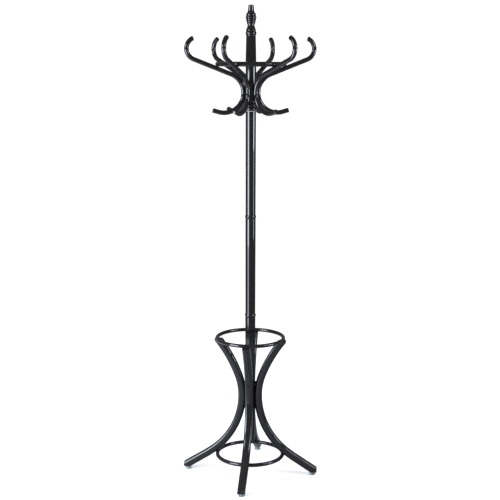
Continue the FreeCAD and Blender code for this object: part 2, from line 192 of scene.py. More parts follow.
def soft_box(name, beside, low, high, width, radiance):
    """An upright rectangle of light facing the pole. Its middle stands beside degrees round from the
    camera, to the right if positive; an even rectangle of power P and area A shines P / (pi A)."""
    height = high - low
    light = bpy.data.lights.new(name, "AREA")
    light.shape = "RECTANGLE"
    light.size = width
    light.size_y = height
    light.energy = radiance * math.pi * width * height
    light.color = cool_white
    turn = camera_round + math.radians(beside)
    place = (box_distance * math.sin(turn), -box_distance * math.cos(turn), (low + high) / 2)
    facing = Matrix.Rotation(turn, 4, "Z") @ Matrix.Rotation(math.pi / 2, 4, "X")
    box = bpy.data.objects.new(name, light)
    box.matrix_world = Matrix.Translation(place) @ facing
    bpy.context.collection.objects.link(box)
    print(name, "at", [round(value, 2) for value in place], "watts", round(light.energy, 1))


# name, degrees round from the camera, lowest and highest point, width, radiance
for box_values in (
    ("left_low", -53.0, 0.0, 0.5, 1.35, 7.0),
    ("left_main", -53.0, 0.5, 1.58, 1.35, 14.5),
    ("left_high", -60.0, 1.95, 2.6, 1.0, 16.0),
    ("right_low", 71.0, 0.55, 1.1, 0.7, 6.0),
    ("right_main", 71.0, 1.1, 1.62, 0.7, 19.0),
    ("right_high", 60.0, 1.95, 2.6, 0.8, 14.0),
):
    soft_box(*box_values)


# %% [markdown]
# ## Surfaces from grids
# Every new piece is a grid of points on a formula, with two values that run over the surface: one
# along the piece and one round it. Neighbouring points join into quads. A piece is put together
# from one or more such patches; points that two patches share are merged, so that it ends closed.
# Each point also keeps its place on the straight stick that the piece was bent from, in an
# attribute called straight, so that grain can follow a bend.

# %% Grid and mesh helpers
def grid_quads(row_count, column_count, wrap_rows=False, left_out=None):
    """Quads of a grid that wraps round its columns. The cell at row i and column j has its corners
    at (i, j), (i, j + 1), (i + 1, j + 1) and (i + 1, j); a point's number is i times the column
    count plus j. left_out marks cells with no quad."""
    rows = np.arange(row_count if wrap_rows else row_count - 1)
    i, j = np.meshgrid(rows, np.arange(column_count), indexing="ij")
    if left_out is not None:
        kept = ~left_out[:len(rows)]
        i, j = i[kept], j[kept]
    next_i = (i + 1) % row_count
    next_j = (j + 1) % column_count
    corners = (i * column_count + j, i * column_count + next_j,
               next_i * column_count + next_j, next_i * column_count + j)
    return np.stack(corners, axis=-1).reshape(-1, 4)


def tube(points, straight=None):
    """A patch from rows of rings, with a flat face over the first and the last ring. A piece that
    was never bent keeps its own points as its straight places."""
    rows, columns = points.shape[:2]
    first_ring = np.arange(columns)[None]
    faces = [grid_quads(rows, columns), first_ring, first_ring + (rows - 1) * columns]
    straight = points if straight is None else straight
    return [points.reshape(-1, 3), faces, straight.reshape(-1, 3)]


def about_pole(points, degrees):
    """Points turned about the pole's axis: x cos - y sin, x sin + y cos."""
    turn = math.radians(degrees)
    cosine, sine = math.cos(turn), math.sin(turn)
    return points @ np.array([[cosine, sine, 0], [-sine, cosine, 0], [0, 0, 1]])


merge_distance = 2e-6


def make_piece(name, patches, body, finish, nodes, sharp):
    """One mesh object from patches of (points, faces, straight), in millimetres. Shared points are
    merged and every face is turned outwards; edges sharper than the given angle stay crisp."""
    points = np.concatenate([patch[0] for patch in patches])
    straight = np.concatenate([patch[2] for patch in patches])
    starts = np.cumsum([0] + [len(patch[0]) for patch in patches])
    faces = []
    for start, patch in zip(starts, patches):
        for face_set in patch[1]:
            faces += (np.asarray(face_set) + start).tolist()
    mesh = bpy.data.meshes.new(name)
    mesh.from_pydata((points / 1000).tolist(), [], faces)
    places = mesh.attributes.new("straight", "FLOAT_VECTOR", "POINT")
    places.data.foreach_set("vector", (straight / 1000).ravel())
    shell = bmesh.new()
    shell.from_mesh(mesh)
    bmesh.ops.remove_doubles(shell, verts=shell.verts, dist=merge_distance)
    bmesh.ops.recalc_face_normals(shell, faces=shell.faces)
    open_edges = sum(1 for edge in shell.edges if len(edge.link_faces) != 2)
    shell.to_mesh(mesh)
    shell.free()
    mesh.shade_smooth()
    mesh.set_sharp_from_angle(angle=math.radians(sharp))
    piece = bpy.data.objects.new(name, mesh)
    bpy.context.collection.objects.link(piece)
    mesh.materials.append(finishes[finish])
    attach(piece, body)
    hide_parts(*nodes)
    print(name, len(mesh.polygons), "faces,", open_edges, "open edges")
    return piece


def soften(piece, width, angle):
    """Rounds the crisp edges with a small bevel, as sanding and lacquer do."""
    bevel = piece.modifiers.new("softened_edges", "BEVEL")
    bevel.width = width / 1000
    bevel.segments = 2
    bevel.limit_method = "ANGLE"
    bevel.angle_limit = math.radians(angle)


# %% [markdown]
# ## Patterns that several finishes share
# Each pattern is a node group with named sockets, so that a finish only says how strong it wants
# it. **Grain** is noise stretched along the stick: under many coats of lacquer it only telegraphs
# as a faint ripple. **Orange peel** is the fine unevenness of sprayed lacquer. **Dust and scuffs**
# dulls what faces up, and what shoes brush against near the floor. **Fine scratches** is for metal.

# %% Shared node groups
def squeezed_noise(tree, place, across, along, detail, roughness):
    """Noise with across lines per metre in X and Y and along lines per metre in Z."""
    squeeze = add(tree, "CombineXYZ", across, across, along)[0]
    squeezed = add(tree, "VectorMath", place, squeeze, settings=[("operation", "MULTIPLY")])[0]
    return add(tree, "TexNoise", Vector=squeezed, Scale=1.0, Detail=detail, Roughness=roughness)["Fac"]


def grain(tree, given):
    """Squeezed noise, sharpened."""
    noise = squeezed_noise(tree, given["Place"], given["Across"], given["Along"], 3.0, 0.6)
    return {"Lines": add(tree, "MapRange", noise, 0.35, 0.7, 0.0, 1.0)[0]}


def orange_peel(tree, given):
    """Two sizes of soft noise added together, for the skin of sprayed lacquer."""
    place, fineness = given["Place"], given["Fineness"]
    fine = add(tree, "TexNoise", Vector=place, Scale=fineness, Detail=1.0)["Fac"]
    coarse_scale = maths(tree, "MULTIPLY", fineness, 0.12)
    coarse = add(tree, "TexNoise", Vector=place, Scale=coarse_scale, Detail=1.0)["Fac"]
    return {"Height": maths(tree, "ADD", fine, maths(tree, "MULTIPLY", coarse, 3.0))}


def dust_and_scuffs(tree, given):
    """Dust is the upward part of the surface's direction, squared, times noise. Scuffs are patchy
    noise that fades out above the given height."""
    place = given["Place"]
    upward = maths(tree, "MAXIMUM", add(tree, "SeparateXYZ", given["Facing"])["Z"], 0.0)
    settled = maths(tree, "POWER", upward, 2.0)
    specks = add(tree, "TexNoise", Vector=place, Scale=260.0, Detail=4.0)["Fac"]
    patchy = add(tree, "MapRange", specks, 0.4, 0.75, 0.25, 1.0)[0]
    height = add(tree, "SeparateXYZ", place)["Z"]
    low = add(tree, "MapRange", height, given["Scuffed Below"], 0.0, 0.0, 1.0)[0]
    rubs = add(tree, "TexNoise", Vector=place, Scale=65.0, Detail=5.0, Roughness=0.7)["Fac"]
    marks = add(tree, "MapRange", rubs, 0.52, 0.7, 0.0, 1.0)[0]
    return {
        "Dust": maths(tree, "MULTIPLY", settled, patchy),
        "Scuffs": maths(tree, "MULTIPLY", low, marks),
    }


def fine_scratches(tree, given):
    """Noise stretched forty to one along Z, for drawn or plated metal, and its blotches."""
    place, fineness = given["Place"], given["Fineness"]
    stretched = maths(tree, "DIVIDE", fineness, 40.0)
    return {
        "Scratches": squeezed_noise(tree, place, fineness, stretched, 2.0, 0.5),
        "Blotches": add(tree, "TexNoise", Vector=place, Scale=220.0, Detail=3.0)["Fac"],
    }


def node_group(name, build, vectors, numbers):
    """A node group with vector inputs and with (name, value) number inputs. build(tree, inputs)
    makes its nodes and gives back its outputs by name."""
    tree = bpy.data.node_groups.new(name, "ShaderNodeTree")
    for vector in vectors:
        tree.interface.new_socket(name=vector, in_out="INPUT", socket_type="NodeSocketVector")
    for number, value in numbers:
        socket = tree.interface.new_socket(name=number, in_out="INPUT", socket_type="NodeSocketFloat")
        socket.default_value = value
    made = build(tree, tree.nodes.new("NodeGroupInput").outputs)
    for output in made:
        tree.interface.new_socket(name=output, in_out="OUTPUT", socket_type="NodeSocketFloat")
    fill(tree, tree.nodes.new("NodeGroupOutput"), *made.values())
    return tree


patterns = {}
for name, build, vectors, numbers in (
    ("grain", grain, ["Place"], [("Across", 900.0), ("Along", 22.0)]),
    ("orange_peel", orange_peel, ["Place"], [("Fineness", 420.0)]),
    ("dust_and_scuffs", dust_and_scuffs, ["Place", "Facing"], [("Scuffed Below", 0.12)]),
    ("fine_scratches", fine_scratches, ["Place"], [("Fineness", 1500.0)]),
):
    patterns[name] = node_group(name, build, vectors, numbers)


# %% [markdown]
# ## Black lacquer
# Turned and bent parts wear the same gloss black lacquer, filled and sprayed in many coats. It
# could be a plain dark gloss, but real lacquer has a skin: here a mirror-smooth coat over a nearly
# black base, orange peel and a trace of grain as bump, and a breath of dust. On turned parts the
# faint ripple runs round, as a lathe leaves it; on bent parts it runs along the stick.

# %% Lacquer finishes
def use_pattern(tree, name, **inputs):
    """Places a shared pattern in a finish, with this finish's own values."""
    placed = tree.nodes.new("ShaderNodeGroup")
    placed.node_tree = patterns[name]
    fill(tree, placed, **inputs)
    return placed.outputs


def new_finish(name):
    """A new material, its node tree, its shader, and the outputs of its texture coordinates."""
    material = bpy.data.materials.new(name)
    material.use_nodes = True
    tree = material.node_tree
    return material, tree, tree.nodes["Principled BSDF"], add(tree, "TexCoord")


def bump(tree, height):
    """The direction of a surface raised by a height in metres."""
    return add(tree, "Bump", Strength=1.0, Distance=1.0, Height=height)["Normal"]


def lacquer(name, ripple_across, ripple_along, ripple_depth):
    """Gloss black over wood. Its bumps are about a thousandth of a millimetre high."""
    material, tree, shader, place = new_finish(name)
    stick = add(tree, "Attribute", settings=[("attribute_name", "straight")])["Vector"]
    lines = use_pattern(tree, "grain", Place=stick, Across=ripple_across, Along=ripple_along)["Lines"]
    peel = use_pattern(tree, "orange_peel", Place=place["Object"])["Height"]
    wear = use_pattern(tree, "dust_and_scuffs", Place=place["Object"], Facing=place["Normal"])
    colour = mixed(tree, lines, (0.0048, 0.0045, 0.0052, 1), (0.0078, 0.0066, 0.0066, 1))
    colour = mixed(tree, wear["Scuffs"], colour, (0.024, 0.019, 0.016, 1))
    dust_share = maths(tree, "MULTIPLY", wear["Dust"], 0.035)
    colour = mixed(tree, dust_share, colour, (0.36, 0.35, 0.34, 1))
    roughness = maths(tree, "MULTIPLY_ADD", wear["Scuffs"], 0.12, 0.055)
    roughness = maths(tree, "MULTIPLY_ADD", wear["Dust"], 0.05, roughness)
    height = maths(tree, "MULTIPLY_ADD", peel, 6.0e-7, maths(tree, "MULTIPLY", lines, ripple_depth))
    fill(tree, shader, Base_Color=colour, Roughness=roughness, IOR=1.55, Normal=bump(tree, height))
    return material


finishes = {
    "turned_lacquer": lacquer("turned_lacquer", 12.0, 500.0, 1.5e-7),
    "bent_lacquer": lacquer("bent_lacquer", 800.0, 18.0, 4.0e-7),
}


# %% [markdown]
# ## Metals and nylon
# The glides are zinc plated and pale, the bolts, screws and leg inserts are blackened, and the
# studs, sleeves and pin inside are plated yellow-grey. Metal could have one flat colour, but
# plating is blotchy and drawn rod carries scratches, so both move its colour and its roughness. The
# slip washer and the bush under the head are natural nylon, soft and matt.

# %% Metal and nylon finishes
def plated(name, bright, dim, low_roughness, high_roughness, scratch_depth):
    """Metal whose colour drifts between two tones with its blotches, and whose scratches are bump."""
    material, tree, shader, place = new_finish(name)
    marks = use_pattern(tree, "fine_scratches", Place=place["Object"])
    colour = mixed(tree, marks["Blotches"], (*bright, 1), (*dim, 1))
    roughness = add(tree, "MapRange", marks["Scratches"], 0.3, 0.7, low_roughness, high_roughness)[0]
    height = maths(tree, "MULTIPLY", marks["Scratches"], scratch_depth)
    fill(tree, shader, Metallic=1.0, Base_Color=colour, Roughness=roughness, Normal=bump(tree, height))
    return material


def nylon():
    """Matt natural nylon with a faint mottle."""
    material, tree, shader, place = new_finish("nylon")
    mottle = add(tree, "TexNoise", Vector=place["Object"], Scale=180.0, Detail=3.0)["Fac"]
    colour = mixed(tree, mottle, (0.80, 0.79, 0.74, 1), (0.62, 0.61, 0.56, 1))
    height = maths(tree, "MULTIPLY", mottle, 2.0e-5)
    fill(tree, shader, Base_Color=colour, Roughness=0.55, Normal=bump(tree, height))
    return material


# name, bright tone, dim tone, lowest and highest roughness, depth of scratches
for metal in (
    ("zinc", (0.62, 0.67, 0.66), (0.46, 0.52, 0.51), 0.22, 0.36, 1.0e-6),
    ("black_steel", (0.035, 0.035, 0.038), (0.02, 0.02, 0.022), 0.3, 0.45, 2.0e-6),
    ("plated_steel", (0.62, 0.60, 0.52), (0.50, 0.47, 0.40), 0.25, 0.4, 1.0e-6),
):
    finishes[metal[0]] = plated(*metal)
finishes["nylon"] = nylon()


# %% [markdown]
# ## Turning
# A turned part is an outline spun about the lathe's axis. The outline holds only the points that
# shape it, with beads and coves as arcs through three points. A long straight stretch gets two
# extra points close to its ends: a smooth-shaded surface blends its direction from point to point,
# and the extra points keep that blend short, so that the reflections on the stretch stay straight.

# %% Outlines and spinning
arc_spacing = 0.7
fewest_on_arc = 6


def arc_points(first, through, last):
    """Points on the circle through three points. The centre is where the perpendicular bisectors
    meet."""
    (ax, ay), (bx, by), (cx, cy) = first, through, last
    cross = 2 * (ax * (by - cy) + bx * (cy - ay) + cx * (ay - by))
    a2, b2, c2 = ax * ax + ay * ay, bx * bx + by * by, cx * cx + cy * cy
    centre = np.array([a2 * (by - cy) + b2 * (cy - ay) + c2 * (ay - by),
                       a2 * (cx - bx) + b2 * (ax - cx) + c2 * (bx - ax)]) / cross
    start = math.atan2(ay - centre[1], ax - centre[0])
    middle = math.atan2(by - centre[1], bx - centre[0])
    end = math.atan2(cy - centre[1], cx - centre[0])
    full = 2 * math.pi
    sweep = (end - start) % full
    if (middle - start) % full > sweep:
        sweep -= full
    radius = math.hypot(ax - centre[0], ay - centre[1])
    count = max(fewest_on_arc, int(abs(sweep) * radius / arc_spacing))
    angles = start + sweep * np.linspace(0, 1, count + 1)[1:]
    return centre + radius * np.stack([np.cos(angles), np.sin(angles)], axis=-1)


def outline(start, steps, support=0.6):
    """An outline's points. A step is (reach, height) for a line, or four values for an arc through
    the first point to the second. A long line gets a point near each end."""
    points = [np.array([start], dtype=float)]
    for step in steps:
        here = points[-1][-1]
        goal = np.array(step[-2:], dtype=float)
        if len(step) == 4:
            points.append(arc_points(here, step[:2], goal))
            continue
        run = goal - here
        length = np.hypot(*run)
        near = support / length
        shares = [near, 1 - near, 1] if length > 4 * support else [1]
        points.append(here + np.outer(shares, run))
    return np.concatenate(points)


def spun(points, columns=96, sides=0):
    """An outline of (reach, height) spun about Z, as one patch with flat ends. With sides, the
    section is a polygon: its reach is the corner's times cos(half a side's angle) over cos(the
    angle from the side's middle)."""
    angles = 2 * math.pi * np.arange(columns) / columns
    reach = np.ones((len(points), columns))
    sides = np.broadcast_to(sides, len(points))
    for side_count in set(sides[sides > 0].tolist()):
        step = 2 * math.pi / side_count
        reach[sides == side_count] = math.cos(step / 2) / np.cos(angles % step - step / 2)
    return tube(polar(reach * points[:, :1], angles, points[:, 1:2]))


# %% [markdown]
# ## The pole
# Three lengths of dowel, 40 mm thick, screw end to end. Each upper length starts with a slim bead,
# turned just above the joint to hide it, and narrows by half a millimetre beside the bead. One
# straight cylinder would do for the silhouette, but the beads and the broken edges at each joint
# are what catch the light.

# %% Pole sections
to_mm = 1000.0
pole_radius = 20.0
section_taper = 0.5
bead_swell = 1.8
bead_height = 12.0
edge_break = 1.0


def span(node):
    """A frame node's lowest and highest heights, in millimetres."""
    low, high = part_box(node)
    return low.z * to_mm, high.z * to_mm


def pole_section(bottom, top, beaded):
    """The outline of one length of pole, from its lower end up."""
    if beaded:
        waist = pole_radius - section_taper
        bead_low = bottom + edge_break
        steps = [(waist, bead_low),
                 (pole_radius + bead_swell, bead_low + bead_height / 2, waist, bead_low + bead_height)]
        start = (waist - edge_break, bottom)
    else:
        steps = [(pole_radius, bottom + 2 * edge_break)]
        start = (pole_radius - 2 * edge_break, bottom)
    steps += [(pole_radius, top - edge_break), (pole_radius - edge_break, top)]
    return outline(start, steps)


for part, beaded in (("lower", False), ("middle", True), ("upper", True)):
    bottom, top = span("pole_" + part)
    section = spun(pole_section(bottom, top, beaded))
    make_piece("turned_pole_" + part, [section], "stand", "turned_lacquer", ["pole_" + part], sharp=80)


# %% [markdown]
# ## The slip washer
# Between pole and head lies a nylon washer, two millimetres thick. It shows as a hairline under the
# head and lets the head turn without grinding lacquer on lacquer.

# %% Slip washer
washer_radius = 17.0
washer_hole = 5.3
washer_break = 0.4
washer_columns = 72
washer_low, washer_high = span("swivel_washer")
washer_ring = np.array([
    (washer_hole, washer_low), (washer_radius - washer_break, washer_low),
    (washer_radius, washer_low + washer_break), (washer_radius, washer_high - washer_break),
    (washer_radius - washer_break, washer_high), (washer_hole, washer_high),
])
washer = spun(washer_ring, washer_columns)
washer[1] = [grid_quads(len(washer_ring), washer_columns, wrap_rows=True)]
make_piece("slip_washer", [washer], "stand", "nylon", ["swivel_washer"], sharp=60)


# %% [markdown]
# ## The head post and the finial
# The head is turned in one length: a small and a large bead and a half round at its foot, a long
# plain shaft that thins towards the top, and one bead under the finial. The finial screws on above:
# a bell that draws in to a neck, four fine ribs that widen upwards, a rounded shoulder and a plug
# with a flat top. Small beads a few millimetres apart could be painted as bump, but they break the
# silhouette, so they are real.

# %% Head post
head_bottom = span("head_post")[0]
finial_joint, rack_top = span("finial")
post_radius = 20.3
post_outline = outline(
    (18.6, head_bottom),
    [
        (19.0, 1456.0),
        (21.2, 1462.5, 18.2, 1467.0),
        (17.6, 1468.6),
        (22.4, 1476.2, 17.6, 1483.6),
        (17.2, 1487.4, 18.4, 1491.0),
        (19.6, 1493.0, post_radius, 1497.0),
        (post_radius, 1645.0),
        (18.3, 1736.5),
        (18.8, 1738.4),
        (20.8, 1745.0, 18.6, 1751.2),
        (17.6, finial_joint),
    ],
)
make_piece("turned_head_post", [spun(post_outline)], "head", "turned_lacquer", ["head_post"], sharp=80)

# %% Finial
ribs = ((15.9, 1781.2), (17.6, 1788.2), (19.2, 1795.4), (20.7, 1803.0))
rib_half = 3.4
rib_groove = 1.3
rib_flare = 0.4
plug_radius = 9.9
finial_steps = [(19.2, 1756.6, 17.8, 1759.8), (15.2, 1766.0, 13.1, 1775.2), (13.4, 1778.0)]
for rib_reach, rib_middle in ribs:
    groove = rib_reach - rib_groove
    finial_steps.append((groove, rib_middle - rib_half))
    finial_steps.append((rib_reach, rib_middle, groove + rib_flare, rib_middle + rib_half))
finial_steps += [
    (17.2, 1808.4),
    (19.2, 1813.6, 16.0, 1819.0),
    (13.4, 1823.4, 12.0, 1829.6),
    (plug_radius, rack_top - edge_break),
    (plug_radius - edge_break, rack_top),
]
finial_outline = outline((17.6, finial_joint), finial_steps)
make_piece("turned_finial", [spun(finial_outline)], "head", "turned_lacquer", ["finial"], sharp=80)


# %% [markdown]
# ## Bending
# Hooks and legs are sticks bent in one plane: straight runs and steady bends, each tangent to the
# next. A steady bend that turns through an angle carries the stick's middle along a chord, which is
# the length run times the sine of half the turn over half the turn, in the direction half way round
# the turn. That one formula places every point, straight runs included, so the path is exact at
# whatever spacing is wanted.

# %% Bent lines and the skin over them
def bent_line(start, heading, moves):
    """Straight lengths and (radius, turn) bends from a start point. Returns a function that gives
    reach, height and heading in radians at distances along the line, and the whole length."""
    reach, height = start
    angle = math.radians(heading)
    along = 0.0
    table = []
    for move in moves:
        length, bend = move, 0.0
        if isinstance(move, tuple):
            radius, turn = move
            length, bend = radius * math.radians(abs(turn)), math.copysign(1 / radius, turn)
        table.append((along, reach, height, angle, bend))
        half_turn = bend * length / 2
        chord = length * np.sinc(half_turn / math.pi)
        reach += chord * math.cos(angle + half_turn)
        height += chord * math.sin(angle + half_turn)
        angle += 2 * half_turn
        along += length
    table = np.array(table)

    def place(distance):
        """Reach, height and heading at each distance along the line."""
        distance = np.asarray(distance, dtype=float)
        piece = np.clip(np.searchsorted(table[:, 0], distance, side="right") - 1, 0, None)
        begun, reach0, height0, angle0, bend = np.moveaxis(table[piece], -1, 0)
        half_turn = bend * (distance - begun) / 2
        chord = (distance - begun) * np.sinc(half_turn / math.pi)
        return (reach0 + chord * np.cos(angle0 + half_turn),
                height0 + chord * np.sin(angle0 + half_turn), angle0 + 2 * half_turn)

    return place, along


def bar_through(waist, lower_moves, upper_moves):
    """A bar that stands upright at its waist, from its lower end up: its line, its length, the
    waist's place on it, and the lower end's reach, height and heading."""
    downwards, waist_along = bent_line(waist, -90.0, lower_moves)
    reach, height, angle = (float(value) for value in downwards(waist_along))
    heading = math.degrees(angle) + 180
    back = [(move[0], -move[1]) if isinstance(move, tuple) else move for move in lower_moves[::-1]]
    line, length = bent_line((reach, height), heading, back + upper_moves)
    return line, length, waist_along, (reach, height, heading)


def laid_on(place, distance, left, side):
    """Points a given way to the left of a bent line, in its plane, and to the side of that plane,
    with their places on the straight stick: (left, side, distance)."""
    reach, height, angle = place(distance)
    across, up = reach - left * np.sin(angle), height + left * np.cos(angle)
    points = np.stack([across, side + 0 * reach, up], axis=-1)
    straight = np.stack(np.broadcast_arrays(left, side, distance), axis=-1)
    return points, straight


# %% [markdown]
# ## Pockets
# Screw and bolt heads sit in shallow round pockets. A pocket could be cut with a boolean, but that
# leaves long thin faces that spoil a glossy surface. Instead a window is left out of the grid and
# filled with a patch of its own: rings that run from the window's edge to the pocket's rim, down
# its wall and to its floor. The rings use the piece's own surface formula, so they lie on it.

# %% A skin with pockets
window = 1.35              # how many times as large as a pocket's rim its window is
window_rows = 8
window_margin = 0.8
ring_shares = np.array([0.0, 0.35, 0.7, 1.0])[:, None]


def with_pockets(skin, rows, columns, pockets, wrap_rows=False):
    """Patches for a surface. skin(along, round) gives points and straight places; rows and columns
    are its values on the grid, columns wrapping. A pocket is (along, round, half along, half round,
    inward direction, depth)."""
    for along, girth, half_along, half_girth, inward, depth in pockets:
        edges = along + half_along * window * np.linspace(-1, 1, window_rows + 1)
        margin = half_along * window + window_margin
        rows = np.sort(np.concatenate([rows[np.abs(rows - along) > margin], edges]))
    points, straight = skin(rows[:, None], columns[None, :])
    left_out = np.zeros((len(rows), len(columns)), dtype=bool)
    patches = []
    for along, girth, half_along, half_girth, inward, depth in pockets:
        first_row = int(np.argmin(np.abs(rows - (along - half_along * window))))
        last_row = first_row + window_rows
        inside = np.flatnonzero(np.abs(columns - girth) <= half_girth * window + 0.01)
        first_column, last_column = inside[0], inside[-1]
        left_out[first_row:last_row, first_column:last_column] = True
        width = last_column - first_column
        i = np.concatenate([np.full(width, first_row), np.arange(first_row, last_row),
                            np.full(width, last_row), np.arange(last_row, first_row, -1)])
        j = np.concatenate([np.arange(first_column, last_column), np.full(window_rows, last_column),
                            np.arange(last_column, first_column, -1), np.full(window_rows, first_column)])
        edge_along, edge_girth = rows[i], columns[j]
        angle = np.arctan2((edge_along - along) / half_along, (edge_girth - girth) / half_girth)
        rim_along = along + half_along * np.sin(angle)
        rim_girth = girth + half_girth * np.cos(angle)
        ring_points, ring_straight = skin(edge_along + (rim_along - edge_along) * ring_shares,
                                          edge_girth + (rim_girth - edge_girth) * ring_shares)
        inward = np.asarray(inward, dtype=float)
        middle = skin(np.array([along]), np.array([girth]))[0][0] + inward * depth
        rim = ring_points[-1]
        floor_ring = rim - np.outer((rim - middle) @ inward, inward)
        ring_points = np.concatenate([ring_points, floor_ring[None]])
        ring_straight = np.concatenate([ring_straight, ring_straight[-1:]])
        count = len(i)
        floor_face = np.arange(count)[None] + (len(ring_points) - 1) * count
        patches.append([ring_points.reshape(-1, 3), [grid_quads(len(ring_points), count), floor_face],
                        ring_straight.reshape(-1, 3)])
    faces = [grid_quads(len(rows), len(columns), wrap_rows, left_out)]
    if not wrap_rows:
        first_ring = np.arange(len(columns))[None]
        faces += [first_ring, first_ring + (len(rows) - 1) * len(columns)]
    return [[points.reshape(-1, 3), faces, straight.reshape(-1, 3)]] + patches


pocket_behind_head = 0.3    # a pocket's floor lies this far behind the face of the head in it


def post_pocket(waist, along, bend_radius, half, rise, head, half_girth, face):
    """A level pocket in a bend whose waist is (reach, height): rise above the waist, for a head
    whose face stands at the given reach. along is the waist's place on the bar."""
    inner_radius = bend_radius - half
    turn = math.asin(rise / inner_radius)
    surface = waist[0] + bend_radius - inner_radius * math.cos(turn)
    stretch = bend_radius / inner_radius / math.cos(turn)
    return (along + bend_radius * turn, 0.0, head * stretch, half_girth, (-1, 0, 0),
            surface - face + pocket_behind_head)


def rounding(share):
    """How far a rounded end still is from full size: 1 at its tip, where share is 0, and down to 0
    along a quarter circle."""
    return 1 - np.sqrt(1 - (1 - np.clip(share, 0, 1)) ** 2)


def turned_round(patches, degrees):
    """The same patches turned about the pole."""
    return [[about_pole(points, degrees), faces, straight] for points, faces, straight in patches]


# %% [markdown]
# ## The hooks
# Each hook is one rod, 18 mm thick, bent like a long S: from the lower tip it curls down and in to
# the post, climbs away from it at about twenty degrees, and turns back up over the top. Two screws
# hold it to the post, and one from below holds it to the hoop. The rod's tips are cut square and
# sanded round, which here is a quarter circle that eats into the last millimetres.

# %% Hooks
hook_rod = 9.0
hook_waist = (28.4, 1522.0)
hook_waist_bend = 75.0
hook_slope = 21.4
hook_tail_turn = 106.0
hook_tail = 23.8
hook_run = 153.0
hook_cup_bend, hook_cup_turn = 42.5, 135.6
tip_round = 1.5

hook_line, hook_length, tail_length = bar_through(
    hook_waist, [(hook_waist_bend, hook_tail_turn), hook_tail],
    [(hook_waist_bend, hook_slope - 90), hook_run, (hook_cup_bend, hook_cup_turn)])[:3]


def hook_skin(along, girth):
    """A round skin about the bent line, with both tips rounded."""
    to_tip = np.minimum(along, hook_length - along)
    radius = hook_rod - tip_round * rounding(to_tip / tip_round)
    angle = girth / hook_rod
    return laid_on(hook_line, along + 0 * girth, -radius * np.cos(angle), radius * np.sin(angle))


screw_offset = 18.0
screw_face = 38.0
screw_head = 4.0
screw_half_girth = hook_rod * math.asin(screw_head / hook_rod)
hook_pockets = []
for offset in (-screw_offset, screw_offset):
    hook_pockets.append(post_pocket(hook_waist, tail_length, hook_waist_bend, hook_rod, offset,
                                    screw_head, screw_half_girth, screw_face))

hoop_let_in = 0.8
hoop_head = 3.5
hook_hoop_pocket = 2.3
hoop_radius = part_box("hook_ring")[1].x * to_mm - hook_rod
run_start = tail_length + hook_waist_bend * math.radians(90 - hook_slope)
run_start_reach = float(hook_line(run_start)[0])
slope = math.radians(hook_slope)
hoop_gap = 2 * hook_rod - hoop_let_in
hoop_on_run = (hoop_radius + hoop_gap * math.sin(slope) - run_start_reach) / math.cos(slope)
hook_pockets.append((run_start + hoop_on_run, 0.0, hoop_head, hook_rod * math.asin(hoop_head / hook_rod),
                     (-math.sin(slope), 0, math.cos(slope)), hook_hoop_pocket))


def round_end(width, rows):
    """Distances from an end, close together at the end, over a quarter circle of a width."""
    return width * (1 - np.cos(np.linspace(0, math.pi / 2, rows)))


def round_columns(half, count):
    """Places round a bar from -half pi to half pi, the last one left out."""
    return half * math.pi * (np.arange(count) / (count // 2) - 1)


tip_count, middle_count, hook_columns = 7, 118, 48
tip_rows = round_end(tip_round, tip_count)
middle_rows = np.linspace(tip_round, hook_length - tip_round, middle_count)[1:-1]
hook_rows = np.concatenate([tip_rows, middle_rows, hook_length - tip_rows[::-1]])
hook_patches = with_pockets(hook_skin, hook_rows, round_columns(hook_rod, hook_columns), hook_pockets)
hook_angles = [math.degrees(math.atan2(mount["pos_m"][1], mount["pos_m"][0]))
               for mount in frame["record"]["mounts"] if mount["name"].startswith("hook_")]
print("hooks stand at", [round(angle, 1) for angle in hook_angles])
for number, degrees in enumerate(hook_angles):
    name = "hook_" + str(number + 1)
    bent_hook = make_piece("bent_" + name, turned_round(hook_patches, degrees), "head", "bent_lacquer",
                           [name], sharp=50)
    soften(bent_hook, 0.35, 50)
print("hook rod", round(hook_length, 1), "mm long")


# %% [markdown]
# ## The hoops
# Three hoops are bent from round rod and scarfed shut so finely that no joint shows. A hoop is a
# ring carried round the pole's axis. The two lower ones have pockets for the screws that hold them
# to the four legs; the upper one's screws come up through the hooks, so it stays whole.

# %% Hoops
hoop_rows, hoop_columns = 180, 40
hoop_pocket = 1.3


def hoop_piece(node, body, rod, screw_side, screw_places):
    """A hoop from its frame node's box, and its radius and height. Its screws enter from screw_side,
    degrees up from level and outwards, at the places given in degrees round the pole."""
    low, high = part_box(node)
    radius = high.x * to_mm - rod
    middle_height = (low.z + high.z) / 2 * to_mm
    quarter_turn = math.radians(45)

    def skin(along, girth):
        """Round the pole by along over the hoop's radius, and round the rod by girth over the rod's."""
        turn = along / radius - quarter_turn
        angle = girth / rod + math.radians(screw_side)
        points = polar(radius + rod * np.cos(angle), turn, middle_height + rod * np.sin(angle))
        return points, polar(rod, angle, radius * turn)

    side = math.radians(screw_side)
    pockets = []
    for place in screw_places:
        turn = math.radians(place)
        inward = -polar(math.cos(side), turn, math.sin(side))
        stretch = radius / (radius + rod * math.cos(side))
        pockets.append((radius * (turn + quarter_turn), 0.0, hoop_head * stretch,
                        rod * math.asin(hoop_head / rod), inward, hoop_pocket))
    rows = 2 * math.pi * radius * np.arange(hoop_rows) / hoop_rows
    patches = with_pockets(skin, rows, round_columns(rod, hoop_columns), pockets, wrap_rows=True)
    ring = make_piece("bent_" + node, patches, body, "bent_lacquer", [node], sharp=50)
    if pockets:
        soften(ring, 0.3, 50)
    return radius, middle_height


